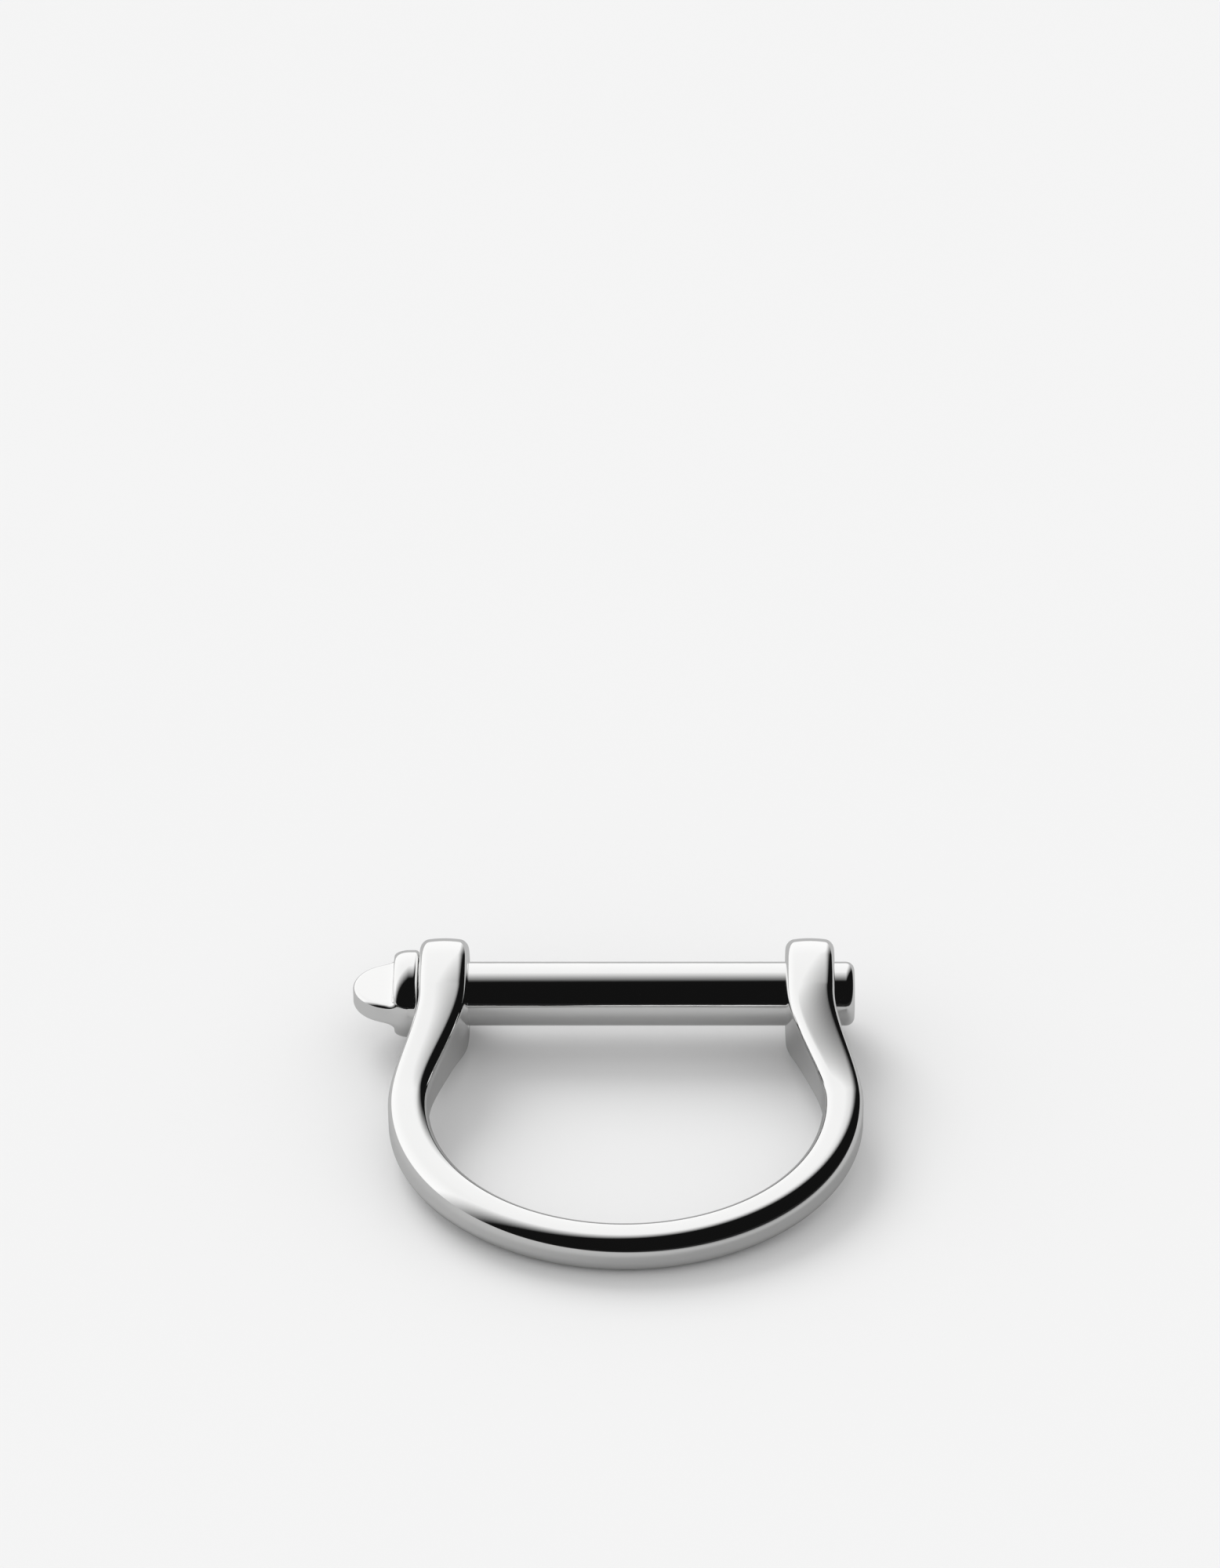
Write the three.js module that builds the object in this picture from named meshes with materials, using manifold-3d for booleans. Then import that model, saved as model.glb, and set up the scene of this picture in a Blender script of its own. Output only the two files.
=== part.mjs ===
// A bow-shackle finger ring, lying on its side: a horseshoe bow with two round ears, closed by
// a screw pin. Millimetres, +Z up, +X along the pin towards its plain end, -Y towards the
// front of the bow. The ring stands on z = 0 with its footprint centred on the origin.
import * as THREE from "three";
import { ParametricGeometry } from "three/addons/geometries/ParametricGeometry.js";
import { mergeVertices } from "three/addons/utils/BufferGeometryUtils.js";
import Module from "manifold-3d";

// Bow: its centreline runs from one ear, out to its widest point and round the front.
const EAR_SPACING = 18.84; // between the middles of the two ears
const EAR_RADIUS = 2.86;
const EAR_THICKNESS = 2.5;
const EAR_EDGE = 0.45; // rounding of the ear's edges
const WIRE_EDGE = 0.75; // rounding of the section at the front of the bow
const CROWN = 0.13; // how far a section's sides lie below the middle of its top
const BOW_HALF_WIDTH = 10.98; // centreline, at the widest point
const BOW_LENGTH = 18.3; // pin axis to the centreline's front
const WAIST_START = 2.0; // where the centreline leaves the ear, in front of the pin axis
const WIDEST_POINT = 8.8; // where the centreline is widest, in front of the pin axis
const WIRE_HALF_WIDTH = 1.02; // in the plane of the bow
const WIRE_HALF_HEIGHT = 1.12; // across the plane of the bow
const TAPER_START = 1.0; // where the ear's thickness begins to shrink towards the wire
const TAPER_END = 8.5; // where it is as thin as the wire
const SHOULDER_DROP = 1.2; // height that is lost in the ear's shoulder
const SHOULDER_END = 8.5; // where the shoulder ends
const BELLY_END = 4.8; // where the underside has risen to the depth of the wire

// Pin
const PIN_RADIUS = 1.65;
const PIN_END = 11.72; // plain end, from the middle of the bow
const PIN_END_ROUND = 0.45;
const TENON_RADIUS = 1.0;
const TENON_END = -11.5;
const COLLAR_RADIUS = 2.25;
const COLLAR_OUTER_FACE = -12.0;
const COLLAR_OUTER_ROUND = 0.35;
const COLLAR_INNER_ROUND = 0.22;
const TAB_TIP = -14.14;
const TAB_HALF_WIDTH = 1.87;
const TAB_THICKNESS = 1.2;
const TAB_EDGE_ROUND = 0.25;
const TAB_ROOT_FILLET = 0.3;

// Thread: right-handed, so turning the head anticlockwise, seen from its tab, draws the pin.
const PITCH = 0.5;
const THREAD_CREST_RADIUS = 1.95;
const THREAD_ROOT_RADIUS = 1.68;
const THREAD_CREST_WIDTH = 0.1;
const THREAD_FLANK_SLOPE = 1.03; // gain in the tooth's width per millimetre towards the root
const TAPPED_HOLE_RADIUS = 1.75;
const TAPPED_GROOVE_RADIUS = 2.02;

// Clearances
const SEAT_GAP = 0.04; // collar to ear
const JOINT_GAP = 0.03; // tenon to head, and the rod's shoulder to the neck
const PLAIN_HOLE_GAP = 0.05; // rod to the plain hole, on the radius
const FLANK_GAP = 0.04; // between thread flanks, along the axis
const HOLE_CHAMFER = 0.14;

// Facets
const EAR_STEPS = 11;
const LIMB_STEPS = 16;
const FRONT_STEPS = 19;
const SECTION_STEPS = 32;
const ROUND_STEPS = 56;
const THREAD_STEPS = 32; // per turn

const EAR_CENTRE = EAR_SPACING / 2;
const EAR_OUTER_FACE = EAR_CENTRE + EAR_THICKNESS / 2;
const EAR_INNER_FACE = EAR_CENTRE - EAR_THICKNESS / 2;
const COLLAR_SEAT = -EAR_OUTER_FACE - SEAT_GAP;
const NECK_END = -EAR_INNER_FACE - 0.13;
const TILT = Math.asin((EAR_RADIUS - WIRE_HALF_HEIGHT) / BOW_LENGTH);

const wasm = await Module();
wasm.setup();

// ---- solids ---------------------------------------------------------------------------

/** A closed three.js geometry as a manifold solid, its faces turned outwards. */
function solidFrom(geometry) {
  const bare = geometry.clone();
  bare.deleteAttribute("normal");
  bare.deleteAttribute("uv");
  const merged = mergeVertices(bare, 1e-5);
  const corners = merged.index.array;
  const points = merged.attributes.position.array;
  const kept = [];
  let volume = 0;
  for (let i = 0; i < corners.length; i += 3) {
    const [a, b, c] = corners.slice(i, i + 3);
    if (a === b || b === c || c === a) continue;
    kept.push(a, b, c);
    volume += tripleProduct(points, a, b, c);
  }
  if (volume < 0) kept.reverse();
  const mesh = new wasm.Mesh({
    numProp: 3,
    vertProperties: new Float32Array(points),
    triVerts: new Uint32Array(kept),
  });
  return new wasm.Manifold(mesh);
}

function tripleProduct(points, a, b, c) {
  const corner = (i) => new THREE.Vector3().fromArray(points, 3 * i);
  return corner(a).dot(corner(b).cross(corner(c)));
}

function geometryFrom(solid) {
  const { vertProperties, triVerts } = solid.getMesh();
  const geometry = new THREE.BufferGeometry();
  geometry.setAttribute("position", new THREE.BufferAttribute(vertProperties, 3));
  geometry.setIndex(new THREE.BufferAttribute(triVerts, 1));
  geometry.computeVertexNormals();
  return geometry;
}

/** A solid turned about the X axis; the profile is a list of [x, radius] that ends on the axis. */
function turnedAboutX(profile, steps = ROUND_STEPS) {
  const outline = profile.map(([x, radius]) => new THREE.Vector2(radius, x));
  const geometry = new THREE.LatheGeometry(outline, steps);
  geometry.rotateZ(-Math.PI / 2);
  return solidFrom(geometry);
}

/** Points of a quarter round from one angle to another, about a centre in the [x, radius] plane. */
function arc(x, radius, round, from, to, steps = 5) {
  const points = [];
  for (let i = 0; i <= steps; i += 1) {
    const angle = from + ((to - from) * i) / steps;
    points.push([x + round * Math.cos(angle), radius + round * Math.sin(angle)]);
  }
  return points;
}

// ---- bow ------------------------------------------------------------------------------

function smoothstep(value, from, to) {
  return THREE.MathUtils.smoothstep(value, from, to);
}

/** The right half of the centreline: s runs 0 to 1 from the ear's back end to the front. */
function centreline(s) {
  const step = s * (EAR_STEPS + LIMB_STEPS + FRONT_STEPS);
  if (step < EAR_STEPS) {
    const angle = (step / EAR_STEPS) * (Math.PI / 2);
    return { across: EAR_CENTRE, forward: -EAR_RADIUS * Math.cos(angle) };
  }
  if (step < EAR_STEPS + LIMB_STEPS) {
    const forward = ((step - EAR_STEPS) / LIMB_STEPS) * WIDEST_POINT;
    const swell = smoothstep(forward, WAIST_START, WIDEST_POINT);
    return { across: EAR_CENTRE + (BOW_HALF_WIDTH - EAR_CENTRE) * swell, forward };
  }
  const angle = ((step - EAR_STEPS - LIMB_STEPS) / FRONT_STEPS) * (Math.PI / 2);
  const reach = BOW_LENGTH - WIDEST_POINT;
  return {
    across: BOW_HALF_WIDTH * Math.cos(angle),
    forward: WIDEST_POINT + reach * Math.sin(angle),
  };
}

/** Half width, height, depth and edge rounding of the section, this far in front of the pin. */
function section(forward) {
  const thin = smoothstep(forward, TAPER_START, TAPER_END);
  const belly = smoothstep(forward, 0, BELLY_END);
  const shoulder = SHOULDER_DROP * smoothstep(forward, 0, SHOULDER_END);
  const slopeDrop = EAR_RADIUS - WIRE_HALF_HEIGHT - SHOULDER_DROP;
  const round = smoothstep(forward, TAPER_START, BOW_LENGTH);
  return {
    halfWidth: THREE.MathUtils.lerp(EAR_THICKNESS / 2, WIRE_HALF_WIDTH, thin),
    height: EAR_RADIUS - shoulder - slopeDrop * smoothstep(forward, 0, BOW_LENGTH),
    depth: THREE.MathUtils.lerp(EAR_RADIUS, WIRE_HALF_HEIGHT, belly),
    edge: THREE.MathUtils.lerp(EAR_EDGE, WIRE_EDGE, round),
  };
}

/**
 * Below zero inside a section: a rectangle with rounded corners and a crowned top. Behind the
 * pin axis, height is counted from the axis, which makes the back of the ear round.
 */
function outsideSection(shape, forward, sideways, up) {
  const rise = Math.hypot(up, Math.min(0, forward)) + CROWN * (sideways / shape.halfWidth) ** 2;
  const overSide = Math.abs(sideways) - shape.halfWidth + shape.edge;
  const overTop = rise - (up < 0 ? shape.depth : shape.height) + shape.edge;
  const corner = Math.hypot(Math.max(overSide, 0), Math.max(overTop, 0));
  return corner + Math.min(Math.max(overSide, overTop), 0) - shape.edge;
}

/** Stretch that brings a direction from the section's middle to its skin, found by halving. */
function reachOfSection(shape, forward, sideways, up) {
  let near = 0;
  let far = 4;
  for (let i = 0; i < 40; i += 1) {
    const half = (near + far) / 2;
    if (outsideSection(shape, forward, sideways * half, up * half) > 0) far = half;
    else near = half;
  }
  return far;
}

/** The bow's skin: u goes round the section, v along the centreline from left ear to right. */
function bowSkin(u, v, target) {
  const side = v < 0.5 ? -1 : 1;
  const s = 1 - Math.abs(1 - 2 * v);
  const here = centreline(s);
  const before = centreline(Math.max(0, s - 1e-4));
  const after = centreline(Math.min(1, s + 1e-4));
  const run = new THREE.Vector2(after.across - before.across, after.forward - before.forward);
  if (s > 0.9999) run.set(-1, 0);
  run.normalize();
  const shape = section(here.forward);
  const even = 2 * Math.PI * u;
  const angle = even + 0.125 * Math.sin(4 * even);
  const rim = Math.min(0, here.forward) / EAR_RADIUS;
  const half = Math.sin(angle) < 0 ? shape.depth : shape.height;
  const tall = half * Math.sqrt(Math.max(0, 1 - rim ** 2));
  const wide = reachOfSection(shape, here.forward, 1, 0);
  const reach = reachOfSection(shape, here.forward, wide * Math.cos(angle), tall * Math.sin(angle));
  const sideways = reach * wide * Math.cos(angle);
  const up = reach * tall * Math.sin(angle);
  const across = here.across + sideways * run.y;
  const forward = here.forward - sideways * run.x;
  target.set(side * across, -forward, up);
}

/** A round hole along X from x1 to x2 with a small chamfer at both mouths. */
function holeCutter(x1, x2, radius) {
  const flare = radius + HOLE_CHAMFER;
  return turnedAboutX([
    [x1 - 1, 0],
    [x1 - 1, flare],
    [x1, flare],
    [x1 + HOLE_CHAMFER, radius],
    [x2 - HOLE_CHAMFER, radius],
    [x2, flare],
    [x2 + 1, flare],
    [x2 + 1, 0],
  ]);
}

/**
 * One helical tooth about the X axis. Its middle passes x = 0 at angle 0 (towards +Y), and every
 * whole pitch from there. It spans the given number of turns and fades out over a quarter turn
 * at each end if it has a fade.
 */
function helicalTooth(firstTurn, lastTurn, baseRadius, crestRadius, extraWidth, fade) {
  const halfWidthAt = (radius) =>
    (THREAD_CREST_WIDTH + (THREAD_CREST_RADIUS - radius) * THREAD_FLANK_SLOPE + extraWidth) / 2;
  const corners = [
    [-halfWidthAt(baseRadius), baseRadius],
    [-halfWidthAt(crestRadius), crestRadius],
    [halfWidthAt(crestRadius), crestRadius],
    [halfWidthAt(baseRadius), baseRadius],
  ];
  const turns = lastTurn - firstTurn;
  const skin = (u, v, target) => {
    const [shift, reach] = corners[Math.round(u * 4) % 4];
    const fromEnd = Math.min(v, 1 - v) * turns;
    const end = v < 1e-9 || v > 1 - 1e-9;
    const size = end ? 0 : Math.min(1, fade ? fromEnd / 0.25 : 1);
    const radius = baseRadius + (reach - baseRadius) * size;
    const turn = firstTurn + turns * v;
    const angle = 2 * Math.PI * turn;
    target.set(PITCH * turn + shift * size, radius * Math.cos(angle), radius * Math.sin(angle));
  };
  return solidFrom(new ParametricGeometry(skin, 4, Math.round(turns * THREAD_STEPS)));
}

function tappedHoleCutter() {
  const hole = holeCutter(-EAR_OUTER_FACE, -EAR_INNER_FACE, TAPPED_HOLE_RADIUS);
  const firstTurn = Math.floor((-EAR_OUTER_FACE - 0.3) / PITCH);
  const lastTurn = Math.ceil((-EAR_INNER_FACE + 0.3) / PITCH);
  const groove = helicalTooth(
    firstTurn,
    lastTurn,
    TAPPED_HOLE_RADIUS - 0.05,
    TAPPED_GROOVE_RADIUS,
    2 * FLANK_GAP,
    false,
  );
  return hole.add(groove);
}

function makeBow() {
  const steps = 2 * (EAR_STEPS + LIMB_STEPS + FRONT_STEPS);
  const blank = solidFrom(new ParametricGeometry(bowSkin, SECTION_STEPS, steps));
  const degrees = THREE.MathUtils.radToDeg(TILT);
  const tapped = tappedHoleCutter().rotate([-degrees, 0, 0]);
  const plain = holeCutter(EAR_INNER_FACE, EAR_OUTER_FACE, PIN_RADIUS + PLAIN_HOLE_GAP);
  return geometryFrom(blank.subtract(tapped).subtract(plain));
}

// ---- pin head -------------------------------------------------------------------------

function makeCollarAndNeck() {
  const inner = COLLAR_SEAT - COLLAR_INNER_ROUND;
  const outer = COLLAR_OUTER_FACE + COLLAR_OUTER_ROUND;
  const quarter = Math.PI / 2;
  return turnedAboutX([
    [COLLAR_OUTER_FACE, 0],
    ...arc(outer, COLLAR_RADIUS - COLLAR_OUTER_ROUND, COLLAR_OUTER_ROUND, 2 * quarter, quarter),
    ...arc(inner, COLLAR_RADIUS - COLLAR_INNER_ROUND, COLLAR_INNER_ROUND, quarter, 0),
    [COLLAR_SEAT, THREAD_ROOT_RADIUS],
    [NECK_END - 0.15, THREAD_ROOT_RADIUS],
    [NECK_END, THREAD_ROOT_RADIUS - 0.15],
    [NECK_END, 0],
  ]);
}

/** The thumb tab: flat on both sides, half round in outline, with softened edges. */
function makeTab() {
  const outline = new THREE.Shape();
  outline.moveTo(COLLAR_OUTER_FACE + 0.5, -TAB_HALF_WIDTH);
  outline.lineTo(COLLAR_OUTER_FACE + 0.5, TAB_HALF_WIDTH);
  outline.lineTo(COLLAR_OUTER_FACE, TAB_HALF_WIDTH);
  const reach = COLLAR_OUTER_FACE - TAB_TIP;
  const quarter = Math.PI / 2;
  outline.absellipse(COLLAR_OUTER_FACE, 0, reach, TAB_HALF_WIDTH, quarter, 3 * quarter);
  const geometry = new THREE.ExtrudeGeometry(outline, {
    depth: TAB_THICKNESS - 2 * TAB_EDGE_ROUND,
    bevelThickness: TAB_EDGE_ROUND,
    bevelSize: TAB_EDGE_ROUND,
    bevelOffset: -TAB_EDGE_ROUND,
    bevelSegments: 3,
    curveSegments: 30,
  });
  geometry.translate(0, 0, TAB_EDGE_ROUND - TAB_THICKNESS / 2);
  return solidFrom(geometry);
}

/** The hollow fillet above and below the tab, where it runs into the collar's face. */
function makeTabRoot() {
  const half = TAB_THICKNESS / 2;
  const foot = COLLAR_OUTER_FACE - TAB_ROOT_FILLET;
  const top = half + TAB_ROOT_FILLET;
  const quarter = Math.PI / 2;
  const outline = new THREE.Shape();
  outline.moveTo(COLLAR_OUTER_FACE + 0.3, top);
  outline.lineTo(COLLAR_OUTER_FACE, top);
  outline.absarc(foot, top, TAB_ROOT_FILLET, 0, -quarter, true);
  outline.lineTo(foot, -half);
  outline.absarc(foot, -top, TAB_ROOT_FILLET, quarter, 0, true);
  outline.lineTo(COLLAR_OUTER_FACE + 0.3, -top);
  const width = 2 * (TAB_HALF_WIDTH - 2 * TAB_EDGE_ROUND);
  const settings = { depth: width, bevelEnabled: false, curveSegments: 5 };
  const geometry = new THREE.ExtrudeGeometry(outline, settings);
  geometry.translate(0, 0, -width / 2);
  geometry.rotateX(Math.PI / 2);
  return solidFrom(geometry);
}

function makePinThread() {
  const firstTurn = (COLLAR_SEAT + 0.25) / PITCH;
  const lastTurn = (NECK_END - 0.3) / PITCH;
  const base = THREAD_ROOT_RADIUS - 0.04;
  return helicalTooth(firstTurn, lastTurn, base, THREAD_CREST_RADIUS, 0, true);
}

function makePinHead() {
  const socketRadius = TENON_RADIUS + JOINT_GAP;
  const socketEnd = TENON_END - JOINT_GAP;
  const socket = turnedAboutX([
    [socketEnd, 0],
    [socketEnd, socketRadius],
    [NECK_END + 1, socketRadius],
    [NECK_END + 1, 0],
  ]);
  const head = makeCollarAndNeck().add(makeTab()).add(makeTabRoot()).add(makePinThread());
  return geometryFrom(head.subtract(socket));
}

// ---- pin shank ------------------------------------------------------------------------

function makePinShank() {
  const shoulder = NECK_END + JOINT_GAP;
  const flat = PIN_RADIUS - PIN_END_ROUND;
  const rounded = arc(PIN_END - PIN_END_ROUND, flat, PIN_END_ROUND, Math.PI / 2, 0, 6);
  const profile = [
    [TENON_END, 0],
    [TENON_END, TENON_RADIUS - 0.1],
    [TENON_END + 0.1, TENON_RADIUS],
    [shoulder, TENON_RADIUS],
    [shoulder, PIN_RADIUS],
    ...rounded,
    [PIN_END, 0],
  ];
  return geometryFrom(turnedAboutX(profile));
}

// ---- materials ------------------------------------------------------------------------

function polishedSilver() {
  return new THREE.MeshStandardMaterial({ color: 0xe9e8e6, roughness: 0.05, metalness: 1 });
}

function drawnSilverRod() {
  return new THREE.MeshStandardMaterial({ color: 0xe4e4e3, roughness: 0.08, metalness: 1 });
}

// ---- assembly -------------------------------------------------------------------------

function named(name, geometry, material) {
  const mesh = new THREE.Mesh(geometry, material);
  mesh.name = name;
  return mesh;
}

/** The whole ring, leaning on its two ears and the front of the bow. */
function makeRing() {
  const bow = named("bow", makeBow(), polishedSilver());
  bow.rotation.x = TILT;
  const pin = new THREE.Group();
  pin.add(named("pin_head", makePinHead(), polishedSilver()));
  pin.add(named("pin_shank", makePinShank(), drawnSilverRod()));
  const ring = new THREE.Group();
  ring.add(bow);
  ring.add(pin);
  const box = new THREE.Box3().setFromObject(ring, true);
  const middle = box.getCenter(new THREE.Vector3());
  ring.position.set(-middle.x, -middle.y, -box.min.z);
  return ring;
}

export default makeRing();
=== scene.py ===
"""A bow-shackle finger ring in polished silver: the bow, the turned head with its thumb tab, and
the drawn rod. Lengths are metres. The ring lies on z = 0 with +X along the pin towards its plain
end and -Y towards the front of the bow."""

import math

import bmesh
import bpy
import numpy as np
from mathutils import Matrix, Vector


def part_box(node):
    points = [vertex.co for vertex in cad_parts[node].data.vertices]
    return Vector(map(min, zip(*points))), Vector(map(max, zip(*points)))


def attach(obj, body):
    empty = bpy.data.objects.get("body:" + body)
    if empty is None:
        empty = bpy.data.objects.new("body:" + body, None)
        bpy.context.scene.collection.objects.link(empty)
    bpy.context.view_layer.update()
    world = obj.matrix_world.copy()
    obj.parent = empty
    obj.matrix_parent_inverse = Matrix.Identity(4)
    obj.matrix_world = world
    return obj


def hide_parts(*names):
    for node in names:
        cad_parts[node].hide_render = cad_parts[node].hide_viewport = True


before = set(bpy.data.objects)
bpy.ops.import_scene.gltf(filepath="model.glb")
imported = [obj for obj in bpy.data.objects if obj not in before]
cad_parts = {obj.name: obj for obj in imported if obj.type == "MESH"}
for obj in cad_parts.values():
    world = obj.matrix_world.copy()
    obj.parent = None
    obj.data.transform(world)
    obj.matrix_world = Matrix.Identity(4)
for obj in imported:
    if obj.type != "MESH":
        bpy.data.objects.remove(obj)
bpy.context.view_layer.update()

bl_info = {
    "name": "Shackle Finger Ring",
    "version": (1, 0, 0),
    "blender": (4, 5, 0),
    "location": "View3D > Sidebar > Shackle Ring",
    "description": "Builds the polished bow, head and rod of a shackle ring, and a pale stage",
    "category": "Object",
}

ROD_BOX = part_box("pin_shank")
MM = 0.001
RIGHT_ANGLE = math.pi / 2
SOFTBOX_TOWARDS = (-0.75, 0.782, 0.278)
# Direction on the floor in which its painted shade deepens, as rays other than the camera's see it.
UNLIT_TOWARDS = (0.58, -0.81, 0)
SOFTBOX_CURVE, ZENITH_DIMMING, ROOM_GLOW = 1.2, 0.1233, 0.0063


def length(name, description, default):
    """A size in metres."""
    return bpy.props.FloatProperty(
        name=name,
        description=description,
        default=default,
        precision=6,
        min=0,
        subtype="DISTANCE",
        unit="LENGTH",
    )


def position(name, description, default):
    """A place along an axis in metres, which may be negative."""
    return bpy.props.FloatProperty(
        name=name,
        description=description,
        default=default,
        precision=6,
        subtype="DISTANCE",
        unit="LENGTH",
    )


def turn(name, description, degrees):
    """An angle, with its default in degrees."""
    return bpy.props.FloatProperty(
        name=name,
        description=description,
        default=math.radians(degrees),
        subtype="ANGLE",
        unit="ROTATION",
    )


def share(name, description, default, top=1.0):
    """A number without a unit."""
    return bpy.props.FloatProperty(
        name=name, description=description, default=default, min=0, max=top, precision=4
    )


def colour(name, description, default):
    """A colour in linear light."""
    return bpy.props.FloatVectorProperty(
        name=name, description=description, default=default, size=3, subtype="COLOR", min=0, max=1
    )


class BowSizes(bpy.types.PropertyGroup):
    """Sizes of the horseshoe bow."""

    ear_spacing: length("Ear spacing", "Between the middles of the two ears", 18.84 * MM)
    ear_radius: length("Ear radius", "Round end of an ear, seen along the pin", 2.86 * MM)
    ear_thickness: length("Ear thickness", "Between the two faced sides of an ear", 2.5 * MM)
    ear_edge: length("Ear edge", "Rounding of the ear's edges", 0.45 * MM)
    wire_edge: length("Wire edge", "Rounding of the section at the front of the bow", 0.75 * MM)
    crown: length("Crown", "From a section's sides up to the middle of its top", 0.13 * MM)
    half_width: length("Half width", "Middle of the ring to the wire at the widest", 10.98 * MM)
    bow_length: length("Length", "Pin axis to the wire at the front of the bow", 18.3 * MM)
    waist_start: length("Waist start", "Where the wire turns outwards from the ear", 2.0 * MM)
    widest_point: length("Widest point", "From the pin axis to the widest place", 8.8 * MM)
    wire_half_width: length("Wire half width", "In the plane of the bow", 1.02 * MM)
    wire_half_height: length("Wire half height", "Across the plane of the bow", 1.12 * MM)
    taper_start: length("Taper start", "Where an ear's thickness starts to shrink", 1.0 * MM)
    taper_end: length("Taper end", "Where it is as thin as the wire", 8.5 * MM)
    shoulder_drop: length("Shoulder drop", "Height that is lost in the ear's shoulder", 1.2 * MM)
    shoulder_end: length("Shoulder end", "Where the ear's shoulder ends", 8.5 * MM)
    belly_end: length("Belly end", "Where the underside has risen to the wire's depth", 4.8 * MM)
    plain_bore: length("Plain bore", "Radius of the hole for the rod", 1.7 * MM)
    tapped_bore: length("Tapped bore", "Radius of the threaded hole inside its crests", 1.75 * MM)
    lip: length("Lip", "Rounding of each hole's mouth", 0.14 * MM)


class PinSizes(bpy.types.PropertyGroup):
    """Sizes of the screw pin, from the middle of the ring along the pin axis."""

    rod_radius: length("Rod radius", "Radius of the drawn rod", 1.65 * MM)
    rod_end: position("Rod end", "Plain end of the rod", 11.72 * MM)
    rod_round: length("Rod end round", "Rounding of the rod's plain end", 0.45 * MM)
    tenon_radius: length("Tenon radius", "Part of the rod inside the head", 1.0 * MM)
    tenon_end: position("Tenon end", "Inner end of the tenon", -11.5 * MM)
    play: length("Play", "Clearance of the tenon in its socket", 0.03 * MM)
    collar_radius: length("Collar radius", "Radius of the head's collar", 2.25 * MM)
    collar_face: position("Collar face", "Outer face of the collar", -12.0 * MM)
    collar_seat: position("Collar seat", "Inner face of the collar, on the ear", -10.71 * MM)
    outer_round: length("Outer round", "Collar's outer edge, along the radius", 0.33 * MM)
    outer_length: length("Outer round length", "Collar's outer edge, along the pin", 0.8 * MM)
    inner_round: length("Inner round", "Rounding of the collar's inner edge", 0.22 * MM)
    tab_tip: position("Tab tip", "Outer end of the thumb tab", -14.14 * MM)
    tab_half_width: length("Tab half width", "Half the width of the thumb tab", 1.87 * MM)
    tab_thickness: length("Tab thickness", "Between the flats of the thumb tab", 1.2 * MM)
    tab_round: length("Tab edge round", "Rounding of the tab's edge", 0.25 * MM)
    tab_root: length("Tab root", "Hollow fillet between tab and collar", 0.34 * MM)
    neck_end: position("Neck end", "Inner end of the threaded neck", -8.3 * MM)


class ThreadSizes(bpy.types.PropertyGroup):
    """The right-handed thread that the neck and the tapped ear share."""

    pitch: length("Pitch", "From one turn to the next", 0.5 * MM)
    crest_radius: length("Crest radius", "Outer radius of the neck's thread", 1.95 * MM)
    root_radius: length("Root radius", "Inner radius of the neck's thread", 1.68 * MM)
    groove_radius: length("Groove radius", "Deepest radius of the tapped groove", 2.02 * MM)
    crest_width: length("Crest width", "Flat on top of a tooth", 0.1 * MM)
    flank_slope: share("Flank slope", "Gain in a tooth's width per radius", 1.03, 3)
    flank_gap: length("Flank gap", "Between the flanks, along the axis", 0.04 * MM)


class SilverFinish(bpy.types.PropertyGroup):
    """Colours and polish of the silver."""

    cast_colour: colour("Cast silver", "Bow and head", (0.925, 0.925, 0.92))
    drawn_colour: colour("Drawn silver", "Rod", (0.915, 0.915, 0.91))
    polish: share("Polish", "Roughness of the mirror polish", 0.045)
    haze: share("Haze", "How much the polish varies", 0.03)
    hairline_depth: length("Hairline depth", "Height of the finest polishing marks", 0.0000004)


class StageLook(bpy.types.PropertyGroup):
    """Floor, light and camera."""

    floor_tone: colour("Floor", "The pale floor", (0.84, 0.84, 0.84))
    # Painted shade: the floor's colour, as the metal mirrors it, is darkened to this share and fades
    # nearly to black between the unlit start and end. It stands in for the ring's shadow on the floor.
    floor_painted_shade: share("Floor in the metal", "The floor's tone where the metal mirrors it", 0.55)
    unlit_start: length("Unlit start", "Where the mirrored floor starts to darken", 14 * MM)
    unlit_end: length("Unlit end", "Where the mirrored floor is dark", 24 * MM)
    backdrop: share("Backdrop", "Plain tone behind the floor", 0.886)
    ambient: share("Ambient", "Even light on the floor", 0.84, 4)
    softbox: share("Softbox", "Brightness of the light that the metal mirrors", 1.0397, 4)
    softbox_edge: share("Softbox edge", "Where the softbox begins, 0 halves the room", 0.16)
    softbox_fade: share("Softbox fade", "Width over which its edge fades", 0.48)
    key_strength: share("Key light", "Strength of the key light", 1.1, 20)
    key_spread: turn("Key spread", "Softness of the key light", 36)
    key_azimuth: turn("Key azimuth", "From straight behind, towards the plain end", -33)
    key_elevation: turn("Key elevation", "Above the floor", 42)
    camera_azimuth: turn("Camera azimuth", "From straight in front, towards the plain end", 0.8)
    camera_elevation: turn("Camera elevation", "Above the floor", 37.6)
    camera_distance: length("Camera distance", "From the middle of the pin", 323.9 * MM)
    camera_heading: turn("Camera heading", "Which way the camera looks", 0.97192)
    camera_dip: turn("Camera dip", "How far down the camera looks", 35.68421)
    camera_roll: turn("Camera roll", "Keeps the pin level in the picture", -0.59336)
    lens: bpy.props.FloatProperty(
        name="Lens", description="Focal length", default=144, subtype="DISTANCE_CAMERA", unit="CAMERA"
    )


# ---- shapes shared by the pieces ------------------------------------------------------------


def smoothstep(value, start, end):
    """3 t squared less 2 t cubed, with t running from 0 at start to 1 at end."""
    t = np.clip((value - start) / (end - start), 0, 1)
    return t * t * (3 - 2 * t)


def blend(a, b, t):
    """a where t is 0, b where t is 1, in proportion between."""
    return a + (b - a) * t


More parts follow.
